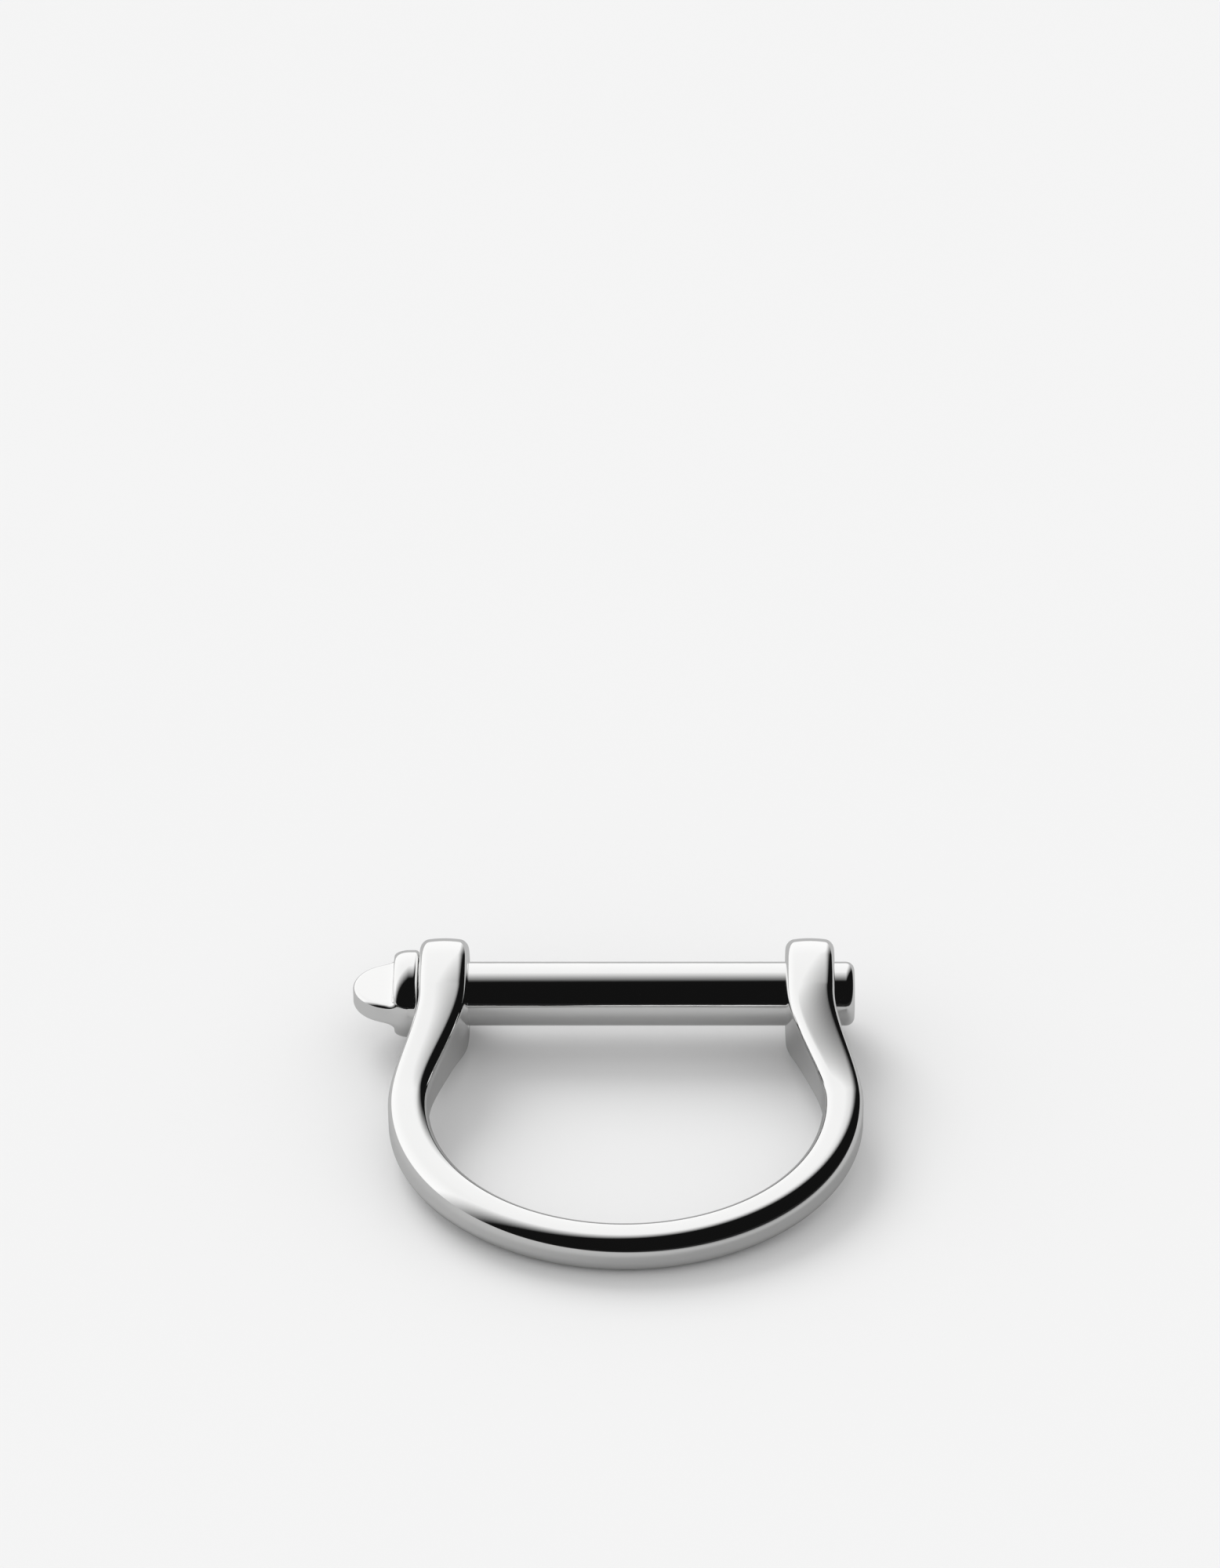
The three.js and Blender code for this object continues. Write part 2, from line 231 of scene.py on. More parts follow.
def grid_normals(points, round_columns):
    """Unit normals of a grid: the cross product of its two directions, taken by differences.
    A row that has shrunk to a point takes the mean normal of the row beside it."""
    rows = np.gradient(points, axis=0, edge_order=2)
    columns = np.gradient(points, axis=1, edge_order=2)
    if round_columns:
        columns[:, [0, -1]] = (points[:, [1, 1]] - points[:, [-2, -2]]) / 2
    normals = np.cross(rows, columns)
    sizes = np.linalg.norm(normals, axis=2, keepdims=True)
    typical = np.median(sizes)
    normals = normals / np.maximum(sizes, 1e-30)
    for edge, inner in ((0, 1), (-1, -2)):
        if np.ptp(points[edge], axis=0).max() < 1e-9:
            mean = normals[inner].mean(axis=0)
            normals[edge] = mean / np.linalg.norm(mean)
    normals[(sizes < 1e-9 * typical)[..., 0]] = 0
    return normals


class Skin:
    """Gathers grids of points into one closed mesh."""

    def __init__(self):
        self.points, self.faces, self.normals, self.count = [], [], [], 0

    def add(self, points, round_columns=False, holes=None):
        """Adds a grid of rows and columns. With round_columns the last column repeats the first.
        holes is an array that is true for each cell to leave out."""
        rows, columns = points.shape[:2]
        index = np.arange(rows * columns).reshape(rows, columns) + self.count
        quads = np.stack([index[:-1, :-1], index[1:, :-1], index[1:, 1:], index[:-1, 1:]], -1)
        keep = np.ones(quads.shape[:2], bool) if holes is None else ~holes
        self.points.append(points.reshape(-1, 3))
        self.normals.append(grid_normals(points, round_columns).reshape(-1, 3))
        self.faces.append(quads[keep].reshape(-1, 4))
        self.count += rows * columns

    def build(self, name, material):
        """Joins the grids where they meet, turns every face outwards and keeps the exact
        normals of the surfaces, so that a mirror finish shows no facets."""
        points, faces = np.concatenate(self.points), np.concatenate(self.faces)
        normals = np.concatenate(self.normals)
        mesh = bpy.data.meshes.new(name)
        mesh.from_pydata(points.astype(np.float32), [], faces)
        exact = mesh.attributes.new("exact_normal", "FLOAT_VECTOR", "CORNER")
        exact.data.foreach_set("vector", normals[faces.ravel()].astype(np.float32).ravel())
        work = bmesh.new()
        work.from_mesh(mesh)
        bmesh.ops.remove_doubles(work, verts=work.verts, dist=1e-8)
        bmesh.ops.recalc_face_normals(work, faces=work.faces)
        if work.calc_volume(signed=True) < 0:
            bmesh.ops.reverse_faces(work, faces=work.faces)
        work.to_mesh(mesh)
        work.free()
        keep_normals(mesh)
        mesh.materials.append(material)
        piece = bpy.data.objects.new(name, mesh)
        bpy.context.scene.collection.objects.link(piece)
        return piece


def keep_normals(mesh):
    """Gives each face corner its stored normal, on the outward side of its face."""
    count = len(mesh.loops)
    stored = np.zeros(count * 3, np.float32)
    mesh.attributes["exact_normal"].data.foreach_get("vector", stored)
    stored = stored.reshape(-1, 3)
    flat = np.zeros(len(mesh.polygons) * 3, np.float32)
    mesh.polygons.foreach_get("normal", flat)
    sizes = np.zeros(len(mesh.polygons), np.int32)
    mesh.polygons.foreach_get("loop_total", sizes)
    outward = np.repeat(flat.reshape(-1, 3), sizes, axis=0)
    side = np.where((stored * outward).sum(axis=1) < 0, -1.0, 1.0)
    kept = stored * side[:, None]
    missing = np.linalg.norm(kept, axis=1) < 0.5
    kept[missing] = outward[missing]
    mesh.attributes.remove(mesh.attributes["exact_normal"])
    mesh.polygons.foreach_set("use_smooth", np.ones(len(mesh.polygons), bool))
    mesh.normals_split_custom_set(kept.tolist())
    mesh.update()


def pin_axis():
    """Middle of the ring on the pin axis, in the frame."""
    low, high = ROD_BOX
    sizes = bpy.context.scene.shackle_pin
    return np.array([high.x - sizes.rod_end, (low.y + high.y) / 2, (low.z + high.z) / 2])


def to_ring(points):
    """Moves points from the pin's own frame, with its axis on X, to where the ring lies."""
    return points + pin_axis()


def bow_tilt(bow):
    """The bow leans on its ears and its front: the sine is the fall over the bow's length."""
    return math.asin((bow.ear_radius - bow.wire_half_height) / bow.bow_length)


def lean(points, bow):
    """Turns points of the level bow about the pin axis to its tilt, and moves them into place."""
    tilt = bow_tilt(bow)
    x, y, z = points[..., 0], points[..., 1], points[..., 2]
    leaning = np.stack(
        [x, y * math.cos(tilt) - z * math.sin(tilt), y * math.sin(tilt) + z * math.cos(tilt)], -1
    )
    return to_ring(leaning)


# ---- bow ------------------------------------------------------------------------------------


def ear_or_limb(bow, forward):
    """Middle of the wire between the ear's back end and the widest point: the ear's middle plus
    a smoothstep of the swell; and the unit direction that it runs in, (across, forward)."""
    ear, swell = bow.ear_spacing / 2, bow.half_width - bow.ear_spacing / 2
    span = bow.widest_point - bow.waist_start
    t = np.clip((forward - bow.waist_start) / span, 0, 1)
    across = ear + swell * t * t * (3 - 2 * t)
    slope = swell * 6 * t * (1 - t) / span
    size = np.sqrt(1 + slope**2)
    return across, slope / size, 1 / size


def wire_section(bow, forward):
    """Half width, height, depth and edge rounding of the section this far in front of the pin:
    each goes from the ear's to the wire's by a smoothstep, and the height by two of them."""
    thin = smoothstep(forward, bow.taper_start, bow.taper_end)
    rounder = smoothstep(forward, bow.taper_start, bow.bow_length)
    half_width = blend(bow.ear_thickness / 2, bow.wire_half_width, thin)
    slope_drop = bow.ear_radius - bow.wire_half_height - bow.shoulder_drop
    height = bow.ear_radius - slope_drop * smoothstep(forward, 0, bow.bow_length)
    height = height - bow.shoulder_drop * smoothstep(forward, 0, bow.shoulder_end)
    depth = blend(bow.ear_radius, bow.wire_half_height, smoothstep(forward, 0, bow.belly_end))
    return half_width, height, depth, blend(bow.ear_edge, bow.wire_edge, rounder)


def outside_section(bow, section, forward, sideways, up):
    """Below zero inside a section: a rectangle with rounded corners and a crowned top. Behind
    the pin axis, height is counted from the axis, which makes the back of the ear round."""
    half_width, height, depth, edge = section
    rise = np.hypot(up, np.minimum(0, forward)) + bow.crown * (sideways / half_width) ** 2
    over = rise - np.where(np.asarray(up) < 0, depth, height) + edge
    return box_distance(np.abs(sideways) - half_width + edge, over) - edge


def section_reach(bow, section, forward, sideways, up):
    """Stretch that brings a direction from the section's middle to its skin: the span that
    holds the skin is halved again and again."""
    near, far = np.zeros(np.broadcast(forward, sideways).shape), 4.0
    for _ in range(46):
        half = (near + far) / 2
        outside = outside_section(bow, section, forward, sideways * half, up * half) > 0
        far, near = np.where(outside, half, far), np.where(outside, near, half)
    return far


EAR_ROWS, LIMB_ROWS, FRONT_ROWS, AROUND = 56, 84, 104, 128
HOLE_ROWS = (27, EAR_ROWS + 21)
HOLE_COLUMNS = 11


def bow_stations(bow):
    """Stations from the back of the right ear to the front of the bow: middle and direction.
    The ear's are spaced by the angle round its rim, the limb's evenly, and the front is a
    quarter ellipse."""
    angle = np.linspace(0, RIGHT_ANGLE, EAR_ROWS, endpoint=False)
    limb_forward = np.linspace(0, bow.widest_point, LIMB_ROWS, endpoint=False)
    forward = np.concatenate([-bow.ear_radius * np.cos(angle), limb_forward])
    across, run_across, run_forward = ear_or_limb(bow, forward)
    turn_angle = np.linspace(0, RIGHT_ANGLE, FRONT_ROWS + 1)
    depth = bow.bow_length - bow.widest_point
    front = np.stack([-bow.half_width * np.sin(turn_angle), depth * np.cos(turn_angle)])
    front /= np.linalg.norm(front, axis=0)
    across = np.concatenate([across, bow.half_width * np.cos(turn_angle)])
    forward = np.concatenate([forward, bow.widest_point + depth * np.sin(turn_angle)])
    run_across = np.concatenate([run_across, front[0]])
    run_forward = np.concatenate([run_forward, front[1]])
    return across[:, None], forward[:, None], run_across[:, None], run_forward[:, None]


def bow_half(bow):
    """Skin of the right half of the level bow. Directions round a section are stretched to its
    half width and height, and closer together at its corners: angle = t + sin(4 t) / 8."""
    across, forward, run_across, run_forward = bow_stations(bow)
    section = wire_section(bow, forward)
    even = np.linspace(0, 2 * math.pi, AROUND + 1)[None, :]
    angle = even + np.sin(4 * even) / 8
    rim = np.minimum(0, forward) / bow.ear_radius
    tall = np.where(np.sin(angle) < 0, section[2], section[1]) * np.sin(angle)
    tall = tall * np.sqrt(np.maximum(0, 1 - rim**2))
    wide = section_reach(bow, section, forward, np.ones_like(forward), 0) * np.cos(angle)
    reach = section_reach(bow, section, forward, wide, tall)
    sideways, up = reach * wide, reach * tall
    x = across + sideways * run_forward
    y = -(forward - sideways * run_across)
    points = np.stack([x, y, up], -1)
    points[:, -1] = points[:, 0]
    return points


def ear_side(bow, forward, up, face):
    """How far across an ear's face lies (face +1 outer, -1 inner) above the point (forward, up).
    The station is found by repeating: station = forward + sideways * run across."""
    station, sideways = forward.copy(), face * bow.ear_thickness / 2 + 0 * up
    for _ in range(16):
        across, run_across, run_forward = ear_or_limb(bow, station)
        half_width, height, depth, edge = wire_section(bow, station)
        rise = np.hypot(up, np.minimum(0, station)) + bow.crown * (sideways / half_width) ** 2
        over = np.maximum(0, rise - np.where(up < 0, depth, height) + edge)
        sideways = face * (half_width - edge + np.sqrt(np.maximum(0, edge**2 - over**2)))
        station = forward + sideways * run_across
    return across + sideways * run_forward


def tooth_distance(thread, x, angle):
    """Along the axis, from the middle of the nearest tooth of the helix x = pitch * angle / turn."""
    turns = x / thread.pitch - angle / (2 * math.pi)
    return np.abs((turns + 0.5) % 1 - 0.5) * thread.pitch


def helix_rows(thread, start, end, angle, ends):
    """Rows along the axis that follow the helix, closer at the tooth's corners, and held between
    the two ends."""
    phases = np.array([-0.378, -0.286, -0.192, -0.1, 0, 0.1, 0.192, 0.286, 0.378, 0.5])
    turns = np.arange(math.floor(start / thread.pitch) - 2, math.ceil(end / thread.pitch) + 3)
    marks = (turns[:, None] + phases[None, :]).ravel()
    rows = thread.pitch * (marks[:, None] + angle[None, :] / (2 * math.pi))
    return np.clip(rows, ends[0][None, :], ends[1][None, :])


def hole_wall(bow, thread, angle, low, high, tapped):
    """The bore between its two lips, in the level bow's frame. A tapped bore follows the helix:
    its radius is the groove's, less the gain towards the flanks, never under the bore's."""
    if not tapped:
        steps = np.linspace(0, 1, 12)[:, None]
        x = blend(low[None, :], high[None, :], steps)
        radius = np.full_like(x, bow.plain_bore)
    else:
        phase = angle + bow_tilt(bow)
        x = helix_rows(thread, low.min(), high.max(), phase, (low, high))
        away = tooth_distance(thread, x, phase[None, :])
        width = 2 * away - thread.crest_width - 2 * thread.flank_gap
        groove = thread.crest_radius - width / thread.flank_slope
        groove = np.clip(groove, bow.tapped_bore, thread.groove_radius)
        inside = np.minimum(x - low[None, :], high[None, :] - x)
        fade = smoothstep(inside, 0, 0.16 * MM)
        radius = bow.tapped_bore + (groove - bow.tapped_bore) * fade
    return np.stack([x, radius * np.cos(angle), radius * np.sin(angle)], -1)


def block_outline(top, left, bottom, right):
    """Row and column numbers once round a block of grid cells, ending where they start."""
    down = [(row, left) for row in range(top, bottom)]
    along = [(bottom, column) for column in range(left, right)]
    back = [(row, right) for row in range(bottom, top, -1)]
    home = [(top, column) for column in range(right, left, -1)]
    loop = np.array(down + along + back + home + [(top, left)])
    return loop[:, 0], loop[:, 1]


def ear_hole(bow, thread, skin, half, side):
    """Opens one ear: on each face a ring of cells from the edge of the cut block to the round
    mouth, its lip, and the bore between the lips. side is +1 for the right ear, -1 for the left."""
    tapped = side < 0
    bore = bow.tapped_bore if tapped else bow.plain_bore
    top, bottom = HOLE_ROWS
    rows, columns = block_outline(top, -HOLE_COLUMNS, bottom, HOLE_COLUMNS)
    edge_outer = half[rows, columns % AROUND]
    edge_inner = half[rows, (AROUND // 2 - columns) % AROUND]
    angle = np.unwrap(np.arctan2(edge_outer[:, 2], edge_outer[:, 1]))
    angle[-1] = angle[0] + 2 * math.pi * np.sign(angle[-2] - angle[0])
    mouth = bore + bow.lip
    lips = {}
    for face, edge in ((1, edge_outer), (-1, edge_inner)):
        t = smoothstep(np.linspace(0, 1, 14), -0.4, 1.4)
        t = ((t - t[0]) / (t[-1] - t[0]))[:, None]
        y = blend(edge[None, :, 1], (mouth * np.cos(angle))[None, :], t)
        z = blend(edge[None, :, 2], (mouth * np.sin(angle))[None, :], t)
        x = ear_side(bow, -y, z, face)
        x[0] = edge[:, 0]
        skin.add(placed(bow, np.stack([x, y, z], -1), side), True)
        roll = np.linspace(0, RIGHT_ANGLE, 7)[:, None]
        radius = bore + bow.lip * (1 - np.sin(roll)) + 0 * angle[None, :]
        deep = x[-1][None, :] - face * bow.lip * (1 - np.cos(roll))
        lip = np.stack([deep, radius * np.cos(angle), radius * np.sin(angle)], -1)
        skin.add(placed(bow, lip, side), True)
        lips[face] = deep[-1]
    if tapped:
        wall = hole_wall(bow, thread, angle, -lips[1], -lips[-1], True)
        skin.add(lean(wall, bow), True)
    else:
        skin.add(placed(bow, hole_wall(bow, thread, angle, lips[-1], lips[1], False), side), True)


def placed(bow, points, side):
    """Puts points of the level right half on the right or the left side of the leaning bow."""
    return lean(points * np.array([side, 1, 1]), bow)


def cut_cells():
    """True for the grid cells that the hole in an ear takes away, on both faces."""
    cells = np.zeros((EAR_ROWS + LIMB_ROWS + FRONT_ROWS, AROUND), bool)
    columns = np.arange(-HOLE_COLUMNS, HOLE_COLUMNS)
    rows = slice(*HOLE_ROWS)
    cells[rows, columns % AROUND] = True
    cells[rows, (columns + AROUND // 2) % AROUND] = True
    return cells


# ---- pin ------------------------------------------------------------------------------------


def turned(profile, angle):
    """Carries a profile of (x, radius) round the pin axis."""
    x, radius = profile[:, :1], profile[:, 1:]
    x = np.repeat(x, len(angle), axis=1)
    return to_ring(np.stack([x, radius * np.cos(angle), radius * np.sin(angle)], -1))


def quarter_round(x, radius, size, start, end, steps=14):
    """Points on an arc about (x, radius), from one angle to another."""
    angle = np.linspace(start, end, steps + 1)
    return np.stack([x + size * np.cos(angle), radius + size * np.sin(angle)], -1)


def straight(a, b, steps):
    """Points evenly from a to b."""
    return np.linspace(a, b, steps + 1)


def head_distance(pin, points):
    """Nearly the distance outside the head: the smooth union of a collar, which is a cylinder
    with rounded edges, and a tab, which is a half ellipse thickened and rounded."""
    x, y, z = points[..., 0], points[..., 1], points[..., 2]
    out_r = np.hypot(y, z) - pin.collar_radius
    outer = (pin.collar_face - x) * pin.outer_round / pin.outer_length
    outer = box_distance(outer + pin.outer_round, out_r + pin.outer_round) - pin.outer_round
    inner = x - pin.collar_seat
    inner = box_distance(inner + pin.inner_round, out_r + pin.inner_round) - pin.inner_round
    collar = np.maximum(outer, inner)
    reach = pin.collar_face - pin.tab_tip
    beyond = np.minimum(x - pin.collar_face, 0)
    size = np.sqrt((beyond / reach) ** 2 + (y / pin.tab_half_width) ** 2) + 1e-9
    slope = np.sqrt((beyond / reach**2) ** 2 + (y / pin.tab_half_width**2) ** 2) + 1e-9
    outline = size * (size - 1) / slope
    outline = np.maximum(outline, x - pin.collar_face - 0.6 * MM)
    thick = np.abs(z) - pin.tab_thickness / 2
    tab = box_distance(outline + pin.tab_round, thick + pin.tab_round) - pin.tab_round
    near = np.maximum(pin.tab_root - np.abs(collar - tab), 0) / pin.tab_root
    return np.minimum(collar, tab) - near * near * pin.tab_root / 4


def box_distance(a, b):
    """Distance outside a right-angled corner whose sides lie a and b away."""
    return np.hypot(np.maximum(a, 0), np.maximum(b, 0)) + np.minimum(np.maximum(a, b), 0)


HEAD_COLUMNS, HEAD_ROWS = 384, 132


def head_columns():
    """Angles round the pin axis, closer together at the thin edges of the tab."""
    even = np.linspace(0, 2 * math.pi, HEAD_COLUMNS + 1)
    angle = np.arctan2(0.42 * np.sin(even), np.cos(even))
    return np.unwrap(angle)


def head_shell(pin, thread, angle):
    """The collar and tab: from a point inside the collar, each ray's length is found by halving
    the span that holds the surface. Rows run from the tab's tip to the neck on the seat."""
    heart = pin.collar_face + 0.2 * MM
    stop = math.pi - math.atan2(thread.root_radius, pin.collar_seat - heart)
    dip = np.linspace(0, stop, HEAD_ROWS + 1)[:, None]
    sideways = np.sin(dip)
    ray = [-np.cos(dip) + 0 * angle, sideways * np.cos(angle), sideways * np.sin(angle)]
    ray = np.stack(ray, -1)
    near, far = np.zeros(ray.shape[:2]), np.full(ray.shape[:2], 4 * MM)
    for _ in range(44):
        half = (near + far) / 2
        outside = head_distance(pin, ray * half[..., None] + np.array([heart, 0, 0])) > 0
        far, near = np.where(outside, half, far), np.where(outside, near, half)
    points = ray * far[..., None] + np.array([heart, 0, 0])
    root = thread.root_radius
    seat = [0 * angle + pin.collar_seat, root * np.cos(angle), root * np.sin(angle)]
    points[-1] = np.stack(seat, -1)
    points[:, -1] = points[:, 0]
    return points


def neck_thread(pin, thread, angle):
    """The neck's outside, following the helix: its radius is the crest's, less the gain towards
    the flanks, never under the root's, and fading out at both ends."""
    low = np.full_like(angle, pin.collar_seat)
    high = np.full_like(angle, pin.neck_end - 0.15 * MM)
    x = helix_rows(thread, pin.collar_seat, pin.neck_end, angle, (low, high))
    away = tooth_distance(thread, x, angle[None, :])
    tooth = thread.crest_radius - (2 * away - thread.crest_width) / thread.flank_slope
    tooth = np.clip(tooth, thread.root_radius, thread.crest_radius)
    fade = smoothstep(x - pin.collar_seat, 0.12 * MM, 0.4 * MM)
    fade = fade * smoothstep(pin.neck_end - 0.15 * MM - x, 0, 0.3 * MM)
    radius = thread.root_radius + (tooth - thread.root_radius) * fade
    return np.stack([x, radius * np.cos(angle), radius * np.sin(angle)], -1)


# ---- materials ------------------------------------------------------------------------------


def node_group(name, inputs, outputs):
    """An empty shader node group with the named sockets, and its two end nodes."""
    group = bpy.data.node_groups.new(name, "ShaderNodeTree")
    for label, kind in inputs:
        group.interface.new_socket(name=label, in_out="INPUT", socket_type=kind)
    for label, kind in outputs:
        group.interface.new_socket(name=label, in_out="OUTPUT", socket_type=kind)
    return group, group.nodes.new("NodeGroupInput"), group.nodes.new("NodeGroupOutput")


def maths(tree, operation, a, b=None, clamp=False):
    """A Math node on two values or sockets, and its result."""
    node = tree.nodes.new("ShaderNodeMath")
    node.operation = operation
    node.use_clamp = clamp
    for socket, value in zip(node.inputs, (a, b)):
        if value is None:
            continue
        if isinstance(value, (int, float)):
            socket.default_value = value
        else:
            tree.links.new(value, socket)
    return node.outputs[0]


def noise(tree, vector, scale, detail):
    """A noise texture's value."""
    node = tree.nodes.new("ShaderNodeTexNoise")
    node.inputs["Scale"].default_value = scale
    node.inputs["Detail"].default_value = detail
    tree.links.new(vector, node.inputs["Vector"])
    return node.outputs["Fac"]


def polish_marks():
    """What a polishing wheel leaves: broad clouds of slightly duller metal, and fine hairlines
    drawn out along one direction. Puts out a tone, a roughness and a height."""
    group, source, result = node_group(
        "Polish marks",
        [("Vector", "NodeSocketVector"), ("Colour", "NodeSocketColor"), ("Roughness", "NodeSocketFloat"),
         ("Haze", "NodeSocketFloat")],
        [("Colour", "NodeSocketColor"), ("Roughness", "NodeSocketFloat"), ("Height", "NodeSocketFloat")],
    )
    drawn = group.nodes.new("ShaderNodeMapping")
    drawn.inputs["Scale"].default_value = (1.0, 0.06, 0.35)
    group.links.new(source.outputs["Vector"], drawn.inputs["Vector"])
    clouds = noise(group, source.outputs["Vector"], 260, 3)
    hairlines = noise(group, drawn.outputs["Vector"], 22000, 2)
    fine = maths(group, "SUBTRACT", hairlines, 0.5)
    broad = maths(group, "SUBTRACT", clouds, 0.5)
    uneven = maths(group, "ADD", maths(group, "MULTIPLY", broad, 1.3), maths(group, "MULTIPLY", fine, 0.5))
    rough = maths(group, "MULTIPLY", uneven, source.outputs["Haze"])
    rough = maths(group, "ADD", rough, source.outputs["Roughness"], clamp=True)
    tone = maths(group, "ADD", maths(group, "MULTIPLY", broad, 0.03), 1.0)
    tint = group.nodes.new("ShaderNodeMix")
    tint.data_type = "RGBA"
    tint.blend_type = "MULTIPLY"
    tint.inputs["Factor"].default_value = 1
    group.links.new(source.outputs["Colour"], tint.inputs["A"])
    grey = group.nodes.new("ShaderNodeCombineColor")
    for channel in grey.inputs:
        group.links.new(tone, channel)
    group.links.new(grey.outputs[0], tint.inputs["B"])
    group.links.new(tint.outputs["Result"], result.inputs["Colour"])
    group.links.new(rough, result.inputs["Roughness"])
    group.links.new(hairlines, result.inputs["Height"])
    return group


def silver(name, marks, base, finish, grain, drawing):
    """Mirror-polished silver. grain turns and stretches the marks to the way it was polished."""
    material = bpy.data.materials.new(name)
    material.use_nodes = True
    tree = material.node_tree
    shader = tree.nodes["Principled BSDF"]
    shader.inputs["Metallic"].default_value = 1.0
    place = tree.nodes.new("ShaderNodeTexCoord")
    turned_marks = tree.nodes.new("ShaderNodeMapping")
    turned_marks.inputs["Rotation"].default_value = grain
    turned_marks.inputs["Scale"].default_value = drawing
    tree.links.new(place.outputs["Object"], turned_marks.inputs["Vector"])
    group = tree.nodes.new("ShaderNodeGroup")
    group.node_tree = marks
    group.inputs["Colour"].default_value = (*base, 1)
    group.inputs["Roughness"].default_value = finish.polish
    group.inputs["Haze"].default_value = finish.haze
    tree.links.new(turned_marks.outputs["Vector"], group.inputs["Vector"])
    bump = tree.nodes.new("ShaderNodeBump")
    bump.inputs["Strength"].default_value = 1.0
    bump.inputs["Distance"].default_value = finish.hairline_depth
    tree.links.new(group.outputs["Height"], bump.inputs["Height"])
    tree.links.new(group.outputs["Colour"], shader.inputs["Base Color"])
    tree.links.new(group.outputs["Roughness"], shader.inputs["Roughness"])
    tree.links.new(bump.outputs["Normal"], shader.inputs["Normal"])
    return material


def floor_material(look):
    """Smooth pale card. The camera sees it at full tone. Every other ray, the metal's reflections among
    them, sees it with painted shade:
    the darker ground that a lamp beside it would give, darker still towards the unlit side. From below it
    is clear."""
    material = bpy.data.materials.new("Pale card")
    material.use_nodes = True
    tree = material.node_tree
    shader = tree.nodes["Principled BSDF"]
    output = tree.nodes["Material Output"]
    shader.inputs["Roughness"].default_value = 0.9
    shader.inputs["Specular IOR Level"].default_value = 0.0
    place = tree.nodes.new("ShaderNodeTexCoord")
    mottle = noise(tree, place.outputs["Object"], 40, 4)
    tone = maths(tree, "ADD", maths(tree, "MULTIPLY", mottle, 0.01), 0.995)
    # Painted shade: rays other than the camera's see the floor at the painted-shade share, fading nearly
    # to black towards the unlit side.
    light = tree.nodes.new("ShaderNodeLightPath")
    unlit = tree.nodes.new("ShaderNodeVectorMath")
    unlit.operation = "DOT_PRODUCT"
    unlit.inputs[1].default_value = UNLIT_TOWARDS
    tree.links.new(place.outputs["Object"], unlit.inputs[0])
    fade = tree.nodes.new("ShaderNodeMapRange")
    fade.interpolation_type = "SMOOTHSTEP"
    ends = (look.unlit_start, look.unlit_end, look.floor_painted_shade, 0.02)
    for label, value in zip(("From Min", "From Max", "To Min", "To Max"), ends):
        fade.inputs[label].default_value = value
    tree.links.new(unlit.outputs["Value"], fade.inputs["Value"])
    seen = maths(tree, "MAXIMUM", light.outputs["Is Camera Ray"], fade.outputs["Result"])
    level = maths(tree, "MULTIPLY", tone, seen)
    scaled = tree.nodes.new("ShaderNodeVectorMath")
    scaled.operation = "SCALE"
    scaled.inputs[0].default_value = look.floor_tone
    tree.links.new(level, scaled.inputs["Scale"])
    tree.links.new(scaled.outputs[0], shader.inputs["Base Color"])
    back = tree.nodes.new("ShaderNodeNewGeometry")
    clear = tree.nodes.new("ShaderNodeBsdfTransparent")
    mix = tree.nodes.new("ShaderNodeMixShader")
    tree.links.new(back.outputs["Backfacing"], mix.inputs["Fac"])
    tree.links.new(shader.outputs[0], mix.inputs[1])
    tree.links.new(clear.outputs[0], mix.inputs[2])
    tree.links.new(mix.outputs[0], output.inputs["Surface"])
    return material


def studio_world(look):
    """One broad softbox over and behind the ring in a dark room. With d a direction, its
    brightness is s = (d . n - edge) / width, held between 0 and 1 and raised to a power, less a
    share of dz squared. The floor is also lit evenly from all round, and the camera sees the
    plain backdrop."""
    world = bpy.data.worlds.new("Studio")
    bpy.context.scene.world = world
    world.use_nodes = True
    tree = world.node_tree
    shader = tree.nodes["Background"]
    output = tree.nodes["World Output"]
    place = tree.nodes.new("ShaderNodeTexCoord")
    towards = tree.nodes.new("ShaderNodeVectorMath")
    towards.operation = "DOT_PRODUCT"
    towards.inputs[1].default_value = SOFTBOX_TOWARDS
    tree.links.new(place.outputs["Generated"], towards.inputs[0])
    parts = tree.nodes.new("ShaderNodeSeparateXYZ")
    tree.links.new(place.outputs["Generated"], parts.inputs[0])
    past_edge = maths(tree, "SUBTRACT", towards.outputs["Value"], look.softbox_edge)
    s = maths(tree, "DIVIDE", past_edge, look.softbox_fade, clamp=True)
    glow = maths(tree, "POWER", s, SOFTBOX_CURVE)
    steep = maths(tree, "MULTIPLY", parts.outputs["Z"], parts.outputs["Z"])
    up = maths(tree, "MULTIPLY", steep, ZENITH_DIMMING)
    level = maths(tree, "MULTIPLY", glow, maths(tree, "SUBTRACT", look.softbox, up))
    tree.links.new(maths(tree, "ADD", level, ROOM_GLOW), shader.inputs["Strength"])
    shader.inputs["Color"].default_value = (1, 1, 1, 1)
    light = tree.nodes.new("ShaderNodeLightPath")
    below = shader.outputs[0]
    for ray, strength in (("Is Diffuse Ray", look.ambient), ("Is Camera Ray", look.backdrop)):
        plain = tree.nodes.new("ShaderNodeBackground")
        plain.inputs["Color"].default_value = (1, 1, 1, 1)
        plain.inputs["Strength"].default_value = strength
        mix = tree.nodes.new("ShaderNodeMixShader")
        tree.links.new(light.outputs[ray], mix.inputs["Fac"])
        tree.links.new(below, mix.inputs[1])
        tree.links.new(plain.outputs[0], mix.inputs[2])
        below = mix.outputs[0]
    tree.links.new(below, output.inputs["Surface"])


def shared_marks():
    """The polish marks group, built once."""
    return bpy.data.node_groups.get("Polish marks") or polish_marks()


